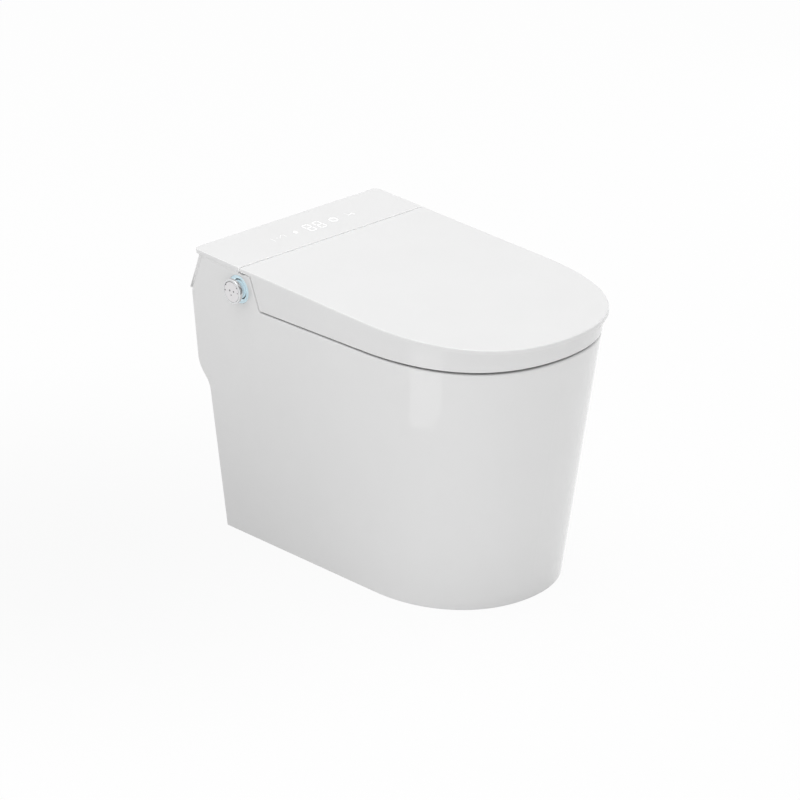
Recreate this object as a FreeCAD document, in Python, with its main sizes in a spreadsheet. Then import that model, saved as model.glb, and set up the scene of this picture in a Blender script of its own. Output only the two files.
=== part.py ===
"""Smart toilet with heated seat: china pan, closed lid, heated seat, washing and drying unit.

Frame: millimetres, +Z up, -Y to the front of the bowl, +X to the sitter's left.
The origin is the centre of the drain outlet on the floor, and the wall stands at Y = 305.
"""
import FreeCAD, Part
import math
import os
import re
import Sketcher

V = FreeCAD.Vector
doc = FreeCAD.newDocument("smart_toilet")
sheet = doc.addObject("Spreadsheet::Sheet", "Sizes")
size = {}
nodes = {}

# ---------------------------------------------------------------- driving sizes

SIZES = [
    # overall form
    ("top_z", 472, "floor to the top of the lid"),
    ("plate_z", 465, "underside of the lid's and the rear cover's top plate"),
    ("plate_half", 195, "half width of the top plate"),
    ("plate_start_y", -105.2, "where the lid's round front begins"),
    ("plate_tip_y", -367.5, "front tip of the top plate"),
    ("plate_full", 0.651, "fullness of the top plate's round front"),
    ("side_half_rear", 194.9, "half width of the sides at the plate, at the rear"),
    ("side_half_front", 194.9, "half width of the sides at the plate, where the front begins"),
    ("side_tip_y", -357.7, "front of the sides at the plate"),
    ("side_full", 0.653, "fullness of the sides' front at the plate"),
    ("foot_half_rear", 185.2, "half width of the foot at the untrimmed rear end"),
    ("foot_half_front", 166.2, "half width of the foot where the front begins"),
    ("foot_start_y", -107, "where the foot's round front begins"),
    ("foot_tip_y", -285.1, "front of the foot"),
    ("foot_full", 0.584, "fullness of the foot's front"),
    ("rear_reach_y", 320, "rear end of the untrimmed side surfaces"),
    ("rear_corner", 12, "radius of the rear cover's corners"),
    # split line between the lid and the china's rim; the closed lid rests a little higher in front
    ("split_y", 134.5, "where the lid's side wall turns up"),
    ("split_z", 410.3, "middle of the gap there"),
    ("split_gap", 3.2, "height of the gap there"),
    ("split_rise", 0.0439, "rise of the lid's lower edge towards the front"),
    ("rim_rise", 0.0405, "rise of the china's rim towards the front"),
    ("rim_round", 3, "rounding of the rim's outer edge"),
    ("rim_depth", 23.4, "from the middle of the gap down to the hollow of the skirt"),
    ("cheek_gap", 2.6, "gap between the lid's side wall and the cheeks"),
    ("cheek_top_y", 154, "where the lid's side wall meets its plate"),
    ("cheek_top_z", 462, "top of the china cheeks, under the hinge and the rear cover"),
    ("cheek_land_y", 168, "rear end of the raised land at the front of the cheeks"),
    ("cheek_land_z", 463.8, "top of that land, close under the lid's plate"),
    # back of the china, from the lip down to the foot
    ("lip_y", 305, "lip below the rear panel"),
    ("lip_z", 401.8, "lip below the rear panel"),
    ("foot_back_y", 235.9, "back of the foot"),
    # china walls
    ("china", 12, "wall of the china"),
    ("deck_z", 408, "china deck that carries the seat unit"),
    ("deck_front_y", 119.5, "front of the level deck"),
    ("cheek_inner", 180, "inner face of the cheeks"),
    ("bay_floor_z", 300, "floor of the equipment bay"),
    ("bay_front_y", 152, "front wall of the equipment bay"),
    ("bay_back_y", 280, "rear wall of the equipment bay"),
    ("bay_half", 174, "half width of the equipment bay"),
    ("notch_left", 84, "left side of the notch below the wash nozzle and dryer"),
    ("notch_right", -36, "right side of that notch"),
    ("bowl_wall", 10, "wall of the bowl"),
    ("trap_bore", 28, "radius of the trapway's bore"),
    ("trap_wall", 9, "wall of the trapway"),
    ("inlet_x", 120, "water inlet, to the sitter's left"),
    ("gland_x", -120, "cable gland, to the sitter's right"),
    ("service_z", 150, "height of the inlet and of the cable gland"),
    # hinge line of the lid and the seat
    ("hinge_y", 176.5, "hinge line"),
    ("hinge_z", 467.5, "hinge line"),
    ("bead", 4.4, "radius of the bead along the lid's rear edge"),
    ("seam_y", 181, "rear edge of the lid's plate"),
    ("pin", 1.5, "radius of the hinge pins"),
    ("pin_hole", 1.55, "radius of the holes for the hinge pins"),
    ("eye", 3, "radius of the hinge eyes"),
    ("arm_in", 129, "inner face of the seat's hinge arms"),
    ("arm_out", 141, "outer face of the seat's hinge arms"),
    ("lug_in", 144.5, "inner face of the housing's hinge lugs"),
    ("lug_out", 152.5, "outer face of the housing's hinge lugs"),
    # lid
    ("lid_wall", 4, "wall of the lid's skirt"),
    ("seam_round", 3, "rounding of the lid's rear edge, so that it clears the rear cover"),
    ("edge_round", 1.8, "rounding of the lid's edge all round the front"),
    ("lid_pad", 7, "radius of the rubber pads between the lid and the seat"),
    # heated seat
    ("seat_half", 183.5, "half width of the seat"),
    ("seat_start_y", -104, "where the seat's round front begins"),
    ("seat_tip_y", -342, "front of the seat"),
    ("seat_rear_y", 118, "rear edge of the seat"),
    ("seat_top_z", 452, "top of the seat"),
    ("seat_base", 3.5, "underside of the seat above the middle of the split gap"),
    ("seat_tray", 8, "thickness of the seat's lower shell"),
    ("hole_half", 104, "half width of the seat's opening"),
    ("hole_mid_y", -98, "widest place of the seat's opening"),
    ("hole_rear", 134, "reach of the opening to the rear"),
    ("hole_front", 164, "reach of the opening to the front"),
    ("seat_corner", 16, "radius of the seat's rear corners"),
    ("seat_round", 8, "rounding of the seat's top edges"),
    ("seat_wall", 5, "wall of the seat's top shell"),
    ("heater_inset", 9, "inset of the heating mat from the seat's edges"),
    ("heater", 2, "thickness of the heating mat"),
    ("seat_foot", 9, "radius of the rubber feet under the seat"),
    # seat unit between the cheeks
    ("unit_half", 178, "half width of the seat unit"),
    ("unit_front_y", 121, "front face of the seat unit"),
    ("unit_deck_z", 457, "deck of the seat unit under the lid"),
    ("unit_top_z", 464.5, "rim of the seat unit that carries the rear cover"),
    ("shell", 2.5, "wall of the plastic housings"),
    ("cover_y", 182.2, "front edge of the rear cover"),
    ("cover_back_y", 294, "rear edge of the rear cover"),
    ("seal_inset", 0.5, "outer face of the cover's seal, in from the side of the china"),
    ("seal_width", 8, "width of the cover's seal"),
    ("seal_y", 184, "front end of the cover's seal"),
    ("seal_back_y", 274, "rear end of the cover's seal"),
    ("panel", 3.5, "thickness of the rear panel"),
    # knob
    ("knob_y", 183.4, "axis of the knob"),
    ("knob_z", 434.5, "axis of the knob"),
    ("knob_face_x", -209, "face of the knob"),
    ("knob_radius", 20.2, "radius of the knob"),
    ("knob_back_x", -203.5, "back of the knob's disc"),
    ("knob_neck", 15.5, "radius of the neck behind the disc"),
    ("button", 17.4, "radius of the push button in the knob"),
    ("button_back_x", -207.2, "back of the push button at rest"),
    ("button_travel", 2, "travel of the push button"),
    ("button_stem", 3, "radius of the push button's stem"),
    ("ring_radius", 23.2, "radius of the light ring behind the knob"),
    ("ring_bore", 18, "bore of the light ring"),
    ("ring_face_x", -193.6, "face of the light ring, just below the china"),
    ("ring_back_x", -190, "back of the light ring"),
    # wash nozzle and dryer, both tilted down to the front
    ("wash_y", 118, "mouth of the wash nozzle at rest"),
    ("wash_z", 402, "mouth of the wash nozzle at rest"),
    ("wash_tilt", 20, "tilt of the nozzle and the dryer duct, degrees"),
    ("wand", 8, "radius of the wash wand"),
    ("wand_length", 134, "length of the wash wand"),
    ("dryer_x", 58, "middle of the dryer duct"),
    ("blower_x", 80, "axis of the dryer's blower"),
    ("blower_y", 226, "axis of the dryer's blower"),
    ("blower", 36, "radius of the blower's housing"),
    ("impeller", 29, "radius of the blower's fan wheel"),
    ("impeller_height", 32, "height of the fan wheel"),
    # works in the bay
    ("tank_top", 376, "top of the water heater"),
    ("tank_port_y", 209, "ports on top of the water heater"),
    ("pump", 30, "radius of the booster pump"),
    ("pump_y", 212, "axis of the booster pump"),
    ("pump_z", 336, "axis of the booster pump"),
    ("hose_y", 225, "supply hose, inlet valve and the elbow of the water inlet"),
]


def fill_sheet():
    for row, (name, value, meaning) in enumerate(SIZES, 1):
        sheet.set("A%d" % row, meaning)
        sheet.set("B%d" % row, str(value))
        sheet.setAlias("B%d" % row, name)
        size[name] = float(value)
    doc.recompute()


def number(text):
    """Value of a sum such as 'deck_z - 2*shell', from the sheet's cells."""
    total = 0.0
    for term in re.findall(r"[+-]?[^+-]+", str(text).replace(" ", "")):
        product = -1.0 if term.startswith("-") else 1.0
        for factor in term.lstrip("+-").split("*"):
            product *= size[factor] if factor in size else float(factor)
        total += product
    return total


def formula(text):
    """The same sum as an expression that stays bound to the sheet."""
    return re.sub(r"[a-z]\w*", lambda word: "Sizes." + word.group(), str(text))


def bind(item, **settings):
    for prop, text in settings.items():
        item.setExpression(prop.replace("__", "."), formula(text))


# ---------------------------------------------------------------- sketch-based bodies

def start_body(label):
    body = doc.addObject("PartDesign::Body", label)
    body.Label = label
    body.AllowCompound = True
    nodes[label] = body
    return body


def polygon(*corners):
    """Closed outline whose corners are pairs of sums."""
    def draw(sketch):
        first = sketch.GeometryCount
        count = len(corners)
        places = [V(number(a), number(b), 0) for a, b in corners]
        for i in range(count):
            sketch.addGeometry(Part.LineSegment(places[i], places[(i + 1) % count]))
        for i in range(count):
            joint = Sketcher.Constraint("Coincident", first + i, 2, first + (i + 1) % count, 1)
            sketch.addConstraint(joint)
            for kind, text in zip(("DistanceX", "DistanceY"), corners[i]):
                rule = Sketcher.Constraint(kind, -1, 1, first + i, 1, number(text))
                fix(sketch, sketch.addConstraint(rule), text)
    return draw


def circle(a, b, radius):
    def draw(sketch):
        place = V(number(a), number(b), 0)
        index = sketch.addGeometry(Part.Circle(place, V(0, 0, 1), number(radius)))
        for kind, text in (("DistanceX", a), ("DistanceY", b)):
            rule = Sketcher.Constraint(kind, -1, 1, index, 3, number(text))
            fix(sketch, sketch.addConstraint(rule), text)
        rule = Sketcher.Constraint("Radius", index, number(radius))
        fix(sketch, sketch.addConstraint(rule), radius)
    return draw


def oblong(a0, a1, b0, b1):
    return polygon((a0, b0), (a1, b0), (a1, b1), (a0, b1))


def fix(sketch, index, text):
    if re.search("[a-z]", str(text)):
        sketch.setExpression("Constraints[%d]" % index, formula(text))


def add_feature(body, kind, plane, draw, low, high):
    """Pad or pocket a sketch on an origin plane between two heights along X, Y or Z."""
    before = body.Shape.Volume if body.Tip else 0.0
    sketch = body.newObject("Sketcher::SketchObject", body.Label + "_sketch")
    origin = [item for item in body.Origin.OriginFeatures if item.Role == plane][0]
    sketch.AttachmentSupport = [(origin, "")]
    sketch.MapMode = "FlatFace"
    faces_back = plane == "XZ_Plane"
    starts_high = (kind == "Pocket") != faces_back
    start = high if starts_high else low
    sign = "-1*(" if faces_back else "("
    sketch.setExpression("AttachmentOffset.Base.z", formula(sign + str(start) + ")"))
    draw(sketch)
    feature = body.newObject("PartDesign::" + kind, body.Label + "_" + kind.lower())
    feature.Profile = sketch
    feature.setExpression("Length", formula("%s - (%s)" % (high, low)))
    doc.recompute()
    change = body.Shape.Volume - before
    if (change if kind == "Pad" else -change) < 0.5:
        raise RuntimeError("%s of %s changes nothing" % (kind, body.Label))
    return body


def pad(body, plane, draw, low, high):
    return add_feature(body, "Pad", plane, draw, low, high)


def pocket(body, plane, draw, low, high):
    return add_feature(body, "Pocket", plane, draw, low, high)


def round_edges(body, radius, wanted):
    """Fillet the edges of the body for which wanted(edge) is true."""
    names = ["Edge%d" % i for i, edge in enumerate(body.Shape.Edges, 1) if wanted(edge)]
    base = body.Tip
    fillet = body.newObject("PartDesign::Fillet", body.Label + "_fillet")
    fillet.Base = (base, names)
    fillet.setExpression("Radius", formula(radius))
    doc.recompute()


def runs_along(edge, axis):
    """True for a straight edge along 0 = X, 1 = Y or 2 = Z."""
    if len(edge.Vertexes) != 2:
        return False
    step = edge.Vertexes[1].Point - edge.Vertexes[0].Point
    return abs(abs(step[axis]) - edge.Length) < 0.01


# ---------------------------------------------------------------- primitives and booleans

TURNS = {
    "X": FreeCAD.Rotation(V(0, 1, 0), 90),
    "Y": FreeCAD.Rotation(V(1, 0, 0), -90),
    "Z": FreeCAD.Rotation(),
}


def cylinder(name, axis, across, radius, low, high):
    """Round bar along an axis; across holds its other two coordinates in X, Y, Z order."""
    item = doc.addObject("Part::Cylinder", name)
    item.Placement = FreeCAD.Placement(V(), TURNS[axis])
    sums = list(across)
    sums.insert("XYZ".index(axis), low)
    bind(item, Radius=radius, Height="%s - (%s)" % (high, low))
    bind(item, Placement__Base__x=sums[0], Placement__Base__y=sums[1], Placement__Base__z=sums[2])
    return item


def join(label, items):
    item = doc.addObject("Part::MultiFuse", label)
    item.Shapes = items
    return item


def cut(label, base, tools):
    item = doc.addObject("Part::Cut", label)
    item.Base = base
    item.Tool = tools[0] if len(tools) == 1 else join(label + "_tools", tools)
    return item


def group(label, items):
    item = doc.addObject("Part::Compound", label)
    item.Links = items
    return item


def keep(label, item):
    item.Label = label
    nodes[label] = item
    return item


def shaped(label, shape):
    """Document object that holds a finished shape."""
    item = doc.addObject("Part::Feature", label)
    item.Shape = shape
    item.Placement = FreeCAD.Placement()
    return item


def formed(label, shape):
    nodes[label] = shaped(label, shape)


# ---------------------------------------------------------------- shared outlines

def quarter(half, slope, start_y, tip_y, fullness, z, side):
    """Round quarter of a plan outline, from a straight side to the tip on the centre line."""
    reach = fullness * (start_y - tip_y)
    curve = Part.BezierCurve()
    curve.setPoles([
        V(side * half, start_y, z),
        V(side * (half - slope * reach), start_y - reach, z),
        V(side * fullness * half, tip_y, z),
        V(0, tip_y, z),
    ])
    return curve.toShape()


def plan_outline(rear_y, rear_half, front_half, start_y, tip_y, fullness, z):
    """Closed plan outline: straight rear, straight sides, round front."""
    slope = (rear_half - front_half) / (rear_y - start_y)
    edges = [Part.LineSegment(V(-rear_half, rear_y, z), V(rear_half, rear_y, z)).toShape()]
    for side in (1, -1):
        rear = V(side * rear_half, rear_y, z)
        front = V(side * front_half, start_y, z)
        edges.append(Part.LineSegment(rear, front).toShape())
        edges.append(quarter(front_half, slope, start_y, tip_y, fullness, z, side))
    return Part.Wire(Part.__sortEdges__(edges))


def side_body(inset):
    """The tapered body between floor and plate, inset all round by a wall."""
    rear = number("rear_reach_y")
    foot = plan_outline(rear, number("foot_half_rear") - inset, number("foot_half_front") - inset,
                        number("foot_start_y"), number("foot_tip_y") + inset,
                        number("foot_full"), 0)
    head = plan_outline(rear, number("side_half_rear") - inset, number("side_half_front") - inset,
                        number("plate_start_y"), number("side_tip_y") + inset,
                        number("side_full"), number("plate_z"))
    return Part.makeLoft([foot, head], True, True)


def rounded_wire(corners, x=0.0, closed=True):
    """Wire in a plane across X; each corner is (y, z) or (y, z, radius)."""
    count = len(corners)
    places = [V(x, corner[0], corner[1]) for corner in corners]
    edges = []
    start = None
    for i in range(count):
        before, here, after = places[i - 1], places[i], places[(i + 1) % count]
        radius = corners[i][2] if len(corners[i]) > 2 else 0
        entry, leave, arc = corner_arc(before, here, after, radius)
        if not closed and i in (0, count - 1):
            entry, leave, arc = here, here, None
        if start is not None:
            edges.append(Part.LineSegment(start, entry).toShape())
        else:
            first = entry
        if arc:
            edges.append(arc)
        start = leave
    if closed:
        edges.append(Part.LineSegment(start, first).toShape())
    return Part.Wire(edges)


def corner_arc(before, here, after, radius):
    """Tangent points and arc that round one corner."""
    if not radius:
        return here, here, None
    way_in = (here - before).normalize()
    way_out = (after - here).normalize()
    half_turn = way_in.getAngle(way_out) / 2
    reach = radius * math.tan(half_turn)
    entry = here - way_in * reach
    leave = here + way_out * reach
    middle = here + (way_out - way_in).normalize() * (radius / math.cos(half_turn) - radius)
    return entry, leave, Part.Arc(entry, middle, leave).toShape()


def side_prism(corners, half=260):
    """Solid across the whole width with the given side profile."""
    face = Part.Face(rounded_wire(corners, -half))
    return face.extrude(V(2 * half, 0, 0))


def split_height(y, above=0.0):
    """Height at y of the line along the lid's lower edge through the middle of the gap."""
    return number("split_z") + (number("split_y") - y) * number("split_rise") + above


def rim_height(y, above=0.0):
    """Height of the china's rim at y."""
    at_rear = number("split_z - 0.5*split_gap")
    return at_rear + (number("split_y") - y) * number("rim_rise") + above


# ---------------------------------------------------------------- china pan

FRONT = -400

BOWL = [
    # z, middle y, half width, half length: sections of the bowl from the rim to the sump
    (445, -107, 151, 214),
    (395, -106, 147, 207),
    (330, -114, 128, 178),
    (265, -127, 99, 136),
    (205, -139, 71, 94),
    (160, -147, 53, 66),
    (118, -150, 38, 44),
]

TRAP = [
    # y, z, radius: middle line of the trapway from the sump over the weir to the floor
    (-165, 150, 0),
    (-95, 62, 45),
    (45, 222, 45),
    (120, 222, 45),
    (120, 104, 46),
    (0, 74, 46),
    (0, -4, 0),
]


def china_profile():
    """Side profile of the china, from the front of the foot round the top to the back."""
    cheek_foot = number("split_y + cheek_gap")
    return [
        (FRONT, 0),
        (FRONT, rim_height(FRONT)),
        (cheek_foot, rim_height(cheek_foot)),
        (number("cheek_top_y + cheek_gap + 0.6"), number("cheek_land_z")),
        (number("cheek_land_y"), number("cheek_land_z")),
        (number("cheek_land_y") + 2, number("cheek_top_z")),
        (276, number("cheek_top_z")),
        (number("lip_y - 4.1"), number("lip_z - 1.1")),
        (number("lip_y - 4.6"), 395.2),
        (290.3, 271, 45),
        (265.4, 244, 32),
        (number("foot_back_y"), 0),
    ]


def void_profile():
    """Side profile of the hollow below the rim, open to the floor."""
    wall = number("china")
    below_rim = -number("rim_depth")
    return [
        (FRONT, -5),
        (FRONT, split_height(FRONT, below_rim)),
        (96, split_height(96, below_rim)),
        (96, 330, 20),
        (132, number("bay_floor_z") - wall, 20),
        (272, number("bay_floor_z") - wall, 10),
        (253, 243.8, 20),
        (number("foot_back_y") - wall, -5),
    ]


def bowl_solid(grow):
    """Inside of the bowl, or its outside when grown by a wall."""
    sections = []
    for z, y, half_width, half_length in BOWL:
        level = z - grow * (z < 200)
        rim = Part.Ellipse(V(0, y, level), half_length + grow, half_width + grow)
        edge = rim.toShape()
        edge.rotate(V(0, y, level), V(0, 0, 1), 90)
        sections.append(Part.Wire([edge]))
    return Part.makeLoft(sections, True, False)


def trap_solid(radius):
    path = rounded_wire(TRAP, closed=False)
    start = path.Edges[0].Vertexes[0].Point
    ring = Part.Wire([Part.Circle(start, path.Edges[0].tangentAt(0), radius).toShape()])
    tube = path.makePipeShell([ring], True, True)
    if tube.Volume < 0:
        tube.reverse()
    return tube


def rear_bore(x, radius):
    """Hole from the back into the hollow at the service height."""
    place = V(x, 200, number("service_z"))
    return Part.makeCylinder(radius, 80, place, V(0, 1, 0))


def follows_rim(edge):
    """Whether an edge of the china runs along its rim."""
    if edge.Length < 3:
        return False
    for step in range(5):
        along = edge.FirstParameter + (edge.LastParameter - edge.FirstParameter) * step / 4
        point = edge.valueAt(along)
        if abs(point.z - rim_height(point.y)) > 0.25:
            return False
    return True


def climbs_cheek(edge):
    """Whether an edge is the outer edge of a cheek, beside the lid."""
    box = edge.BoundBox
    outside = min(abs(box.XMin), abs(box.XMax)) > 180
    climb = box.ZMax - box.ZMin
    return outside and box.YMin > number("split_y") and climb > 40 and box.ZMin > 400


def make_china():
    """Skirt with rim and cheeks, bowl and trapway: cast apart, joined wet, fired as one."""
    outer = side_body(0).common(side_prism(china_profile()))
    rim = [edge for edge in outer.Edges if follows_rim(edge) or climbs_cheek(edge)]
    outer = outer.makeFillet(number("rim_round"), rim)
    hollow = side_body(number("china")).common(side_prism(void_profile()))
    bowl = bowl_solid(number("bowl_wall"))
    trap = trap_solid(number("trap_bore") + number("trap_wall"))
    deck = Part.makeBox(2 * number("cheek_inner"), 200, 100,
                        V(-number("cheek_inner"), number("deck_front_y"), number("deck_z")))
    bay = Part.makeBox(2 * number("bay_half"), number("bay_back_y - bay_front_y"), 120,
                       V(-number("bay_half"), number("bay_front_y"), number("bay_floor_z")))
    hose_hole = Part.makeCylinder(14, 60, V(number("inlet_x"), number("hose_y"), 260))
    open_ways = [bowl_solid(0), trap_solid(number("trap_bore")), deck, bay, nozzle_notch()]
    skirt_cuts = [knob_bore("ring_bore - 0.4", 60),
                  knob_bore("ring_radius + 0.3", number("ring_back_x") + 210),
                  hose_hole, rear_bore(number("inlet_x"), 13), rear_bore(number("gland_x"), 9)]
    skirt = outer.cut(hollow).cut([bowl, trap] + open_ways + skirt_cuts)
    formed("ceramic_pan", skirt.removeSplitter())
    formed("ceramic_bowl", bowl.common(outer).cut(open_ways).removeSplitter())
    formed("ceramic_trap", trap.common(outer).cut([bowl] + open_ways).removeSplitter())


def knob_bore(radius, depth):
    """Round hole for the knob, from outside the china inwards."""
    start = V(-210, number("knob_y"), number("knob_z"))
    return Part.makeCylinder(number(radius), depth, start, V(1, 0, 0))


def nozzle_notch():
    """Sloping notch in the rear of the rim, below the wash nozzle and the dryer."""
    corners = [(40, 357), (156, 399), (156, 430), (40, 430)]
    face = Part.Face(rounded_wire(corners, number("notch_right")))
    return face.extrude(V(number("notch_left - notch_right"), 0, 0))


def make_outlet_gasket():
    horn = number("trap_bore + trap_wall")
    ring = [
        V(horn + 0.3, 0, 0), V(horn + 15, 0, 0), V(horn + 15, 0, 4), V(horn + 6, 0, 7),
        V(horn + 9, 0, 11), V(horn + 5, 0, 15), V(horn + 7, 0, 20), V(horn + 0.3, 0, 20),
    ]
    face = Part.Face(Part.makePolygon(ring + ring[:1]))
    formed("outlet_gasket", face.revolve(V(), V(0, 0, 1), 360))


# ---------------------------------------------------------------- lid

def lid_pockets():
    """Room in the lid's rear edge for the seat's arms and the housing's lugs."""
    tools = []
    length = number("lug_out - arm_in + 2")
    for side in (1, -1):
        low = number("arm_in - 1") if side > 0 else -number("arm_in - 1") - length
        tools.append(Part.makeBox(length, 19, 9, V(low, 163.5, 459.2)))
        place = V(low, number("hinge_y"), number("hinge_z"))
        tools.append(Part.makeCylinder(number("eye + 0.3"), length, place, V(1, 0, 0)))
    return tools


def make_lid():
    top = plan_outline(number("seam_y"), number("plate_half"), number("plate_half"),
                       number("plate_start_y"), number("plate_tip_y"),
                       number("plate_full"), number("plate_z"))
    plate = Part.Face(top).extrude(V(0, 0, number("top_z - plate_z")))
    plate = round_plate(plate)
    half_gap = number("0.5*split_gap")
    skirt_side = [
        (FRONT, split_height(FRONT, half_gap)),
        (number("split_y"), split_height(number("split_y"), half_gap)),
        (number("cheek_top_y"), number("plate_z")),
        (FRONT, number("plate_z")),
    ]
    skirt = side_body(0).common(side_prism(skirt_side)).cut(side_body(number("lid_wall")))
    bar = V(-number("plate_half") + 2, number("hinge_y"), number("hinge_z"))
    bead = Part.makeCylinder(number("bead"), 2 * number("plate_half") - 4, bar, V(1, 0, 0))
    pins = Part.makeCylinder(number("pin_hole"), 320, V(-160, bar.y, bar.z), V(1, 0, 0))
    lid = plate.fuse([skirt, bead]).cut(lid_pockets() + [pins])
    formed("lid_shell", lid.removeSplitter())


def round_plate(plate):
    """Soft edges: a wide one at the seam, a narrow one all round the rest."""
    top = number("top_z")
    seam = [e for e in plate.Edges if runs_along(e, 0) and e.BoundBox.ZMin > top - 0.01]
    plate = plate.makeFillet(number("seam_round"), seam)
    edge = [e for e in plate.Edges
            if e.BoundBox.ZMin > top - 0.01
            and e.BoundBox.YMax < number("seam_y")
            and not runs_along(e, 0)]
    return plate.makeFillet(number("edge_round"), edge)


def make_hinge_pins():
    pins = []
    for name, low, high in (("pin_left", "arm_in - 8", "lug_out + 6"),
                            ("pin_right", "-lug_out - 6", "-arm_in + 8")):
        pins.append(cylinder(name, "X", ("hinge_y", "hinge_z"), "pin", low, high))
    keep("hinge_pins", group("hinge_pins", pins))


def make_lid_bumpers():
    pads = []
    for name, x, y in (("lid_pad_a", "-140", "-190"), ("lid_pad_b", "140", "-190"),
                       ("lid_pad_c", "-150", "60"), ("lid_pad_d", "150", "60")):
        pads.append(cylinder(name, "Z", (x, y), "lid_pad", "seat_top_z + 0.5", "plate_z"))
    keep("lid_bumpers", group("lid_bumpers", pads))


# ---------------------------------------------------------------- heated seat

def seat_outline(inset, z):
    return plan_outline(number("seat_rear_y") - inset, number("seat_half") - inset,
                        number("seat_half") - inset, number("seat_start_y"),
                        number("seat_tip_y") + inset, number("side_full"), z)


def seat_hole(grow, z):
    """Egg-shaped opening, short to the rear and long to the front."""
    half = number("hole_half") + grow
    middle = number("hole_mid_y")
    edges = []
    for side in (1, -1):
        edges.append(quarter(half, 0, middle, middle - number("hole_front") - grow, 0.58, z, side))
        edges.append(quarter(half, 0, middle, middle + number("hole_rear") + grow, 0.66, z, side))
    return Part.Wire(Part.__sortEdges__(edges))


def seat_ring(inset, low, high):
    """Ring with the seat's outline and opening between two levels."""
    height = V(0, 0, high - low)
    solid = Part.Face(seat_outline(inset, low)).extrude(height)
    return solid.cut(Part.Face(seat_hole(inset, low)).extrude(height))


def above(line, gap):
    """Everything above a sloping line by a gap."""
    rear = 200
    low_front = (FRONT, line(FRONT, gap))
    low_rear = (rear, line(rear, gap))
    return side_prism([low_front, low_rear, (rear, 520), (FRONT, 520)])


def make_seat():
    base = number("seat_base")
    tray_top = number("seat_base + seat_tray")
    top = number("seat_top_z")
    tray = seat_ring(1.5, 400, 470).common(above(split_height, base))
    tray = tray.cut(above(split_height, tray_top - 0.2))
    formed("seat_tray", tray.removeSplitter())
    body = seat_ring(0, 400, top)
    corners = [e for e in body.Edges if runs_along(e, 2) and e.BoundBox.YMin > 100]
    body = body.makeFillet(number("seat_corner"), corners)
    rims = [e for e in body.Edges if e.BoundBox.ZMin > top - 0.01]
    body = body.makeFillet(number("seat_round"), rims).common(above(split_height, tray_top))
    wall = number("seat_wall")
    room = seat_ring(wall, 400, top - wall).common(above(split_height, tray_top - 1))
    formed("seat_top", body.cut(room).removeSplitter())
    mat_top = top - wall - 0.2
    formed("seat_heater", seat_ring(number("heater_inset"), mat_top - number("heater"), mat_top))


def make_seat_arms():
    """Cranked hinge arms from the seat's rear edge up to the hinge line."""
    for label, low, high in (("seat_arm_left", "arm_in", "arm_out"),
                             ("seat_arm_right", "-arm_out", "-arm_in")):
        arm = start_body(label)
        crank = polygon(("seat_rear_y + 0.1", "424"), ("seat_rear_y + 5", "424"),
                        ("seat_rear_y + 12", "436"), ("hinge_y - 6", "hinge_z - 8"),
                        ("hinge_y - 0.5", "hinge_z - 2.7"), ("hinge_y - 2.4", "hinge_z + 0.8"),
                        ("seat_rear_y + 10", "449"), ("seat_rear_y + 0.1", "446"))
        pad(arm, "YZ_Plane", crank, low, high)
        pad(arm, "YZ_Plane", circle("hinge_y", "hinge_z", "eye"), low, high)
        pocket(arm, "YZ_Plane", circle("hinge_y", "hinge_z", "pin_hole"), low, high)


def make_seat_bumpers():
    """Rubber feet between the seat and the rim, each cut to the rim's slope."""
    feet = []
    over_rim = above(rim_height, 0.1)
    over_seat_base = above(split_height, number("seat_base"))
    for x, y in ((-160, 60), (160, 60), (-128, -235), (128, -235)):
        foot = Part.makeCylinder(number("seat_foot"), 60, V(x, y, 395))
        feet.append(foot.common(over_rim).cut(over_seat_base))
    formed("seat_bumpers", Part.makeCompound(feet))


# ---------------------------------------------------------------- seat unit housing

def unit_side(inset):
    """Side profile of the seat unit, inset by a wall; the top is left open behind the deck."""
    wall = " + %s*shell" % inset
    less = " - %s*shell" % inset
    return [
        ("unit_front_y" + wall, "deck_z" + wall),
        ("unit_front_y" + wall, "426" + less),
        ("unit_front_y + 19" + wall, "unit_deck_z" + less),
        ("cover_y + 1.5" + wall, "unit_deck_z" + less),
        ("cover_y + 1.5" + wall, "unit_top_z + %s*2" % inset),
        ("272" + less, "unit_top_z + %s*2" % inset),
        ("294" + less, "deck_z" + wall),
    ]


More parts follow.
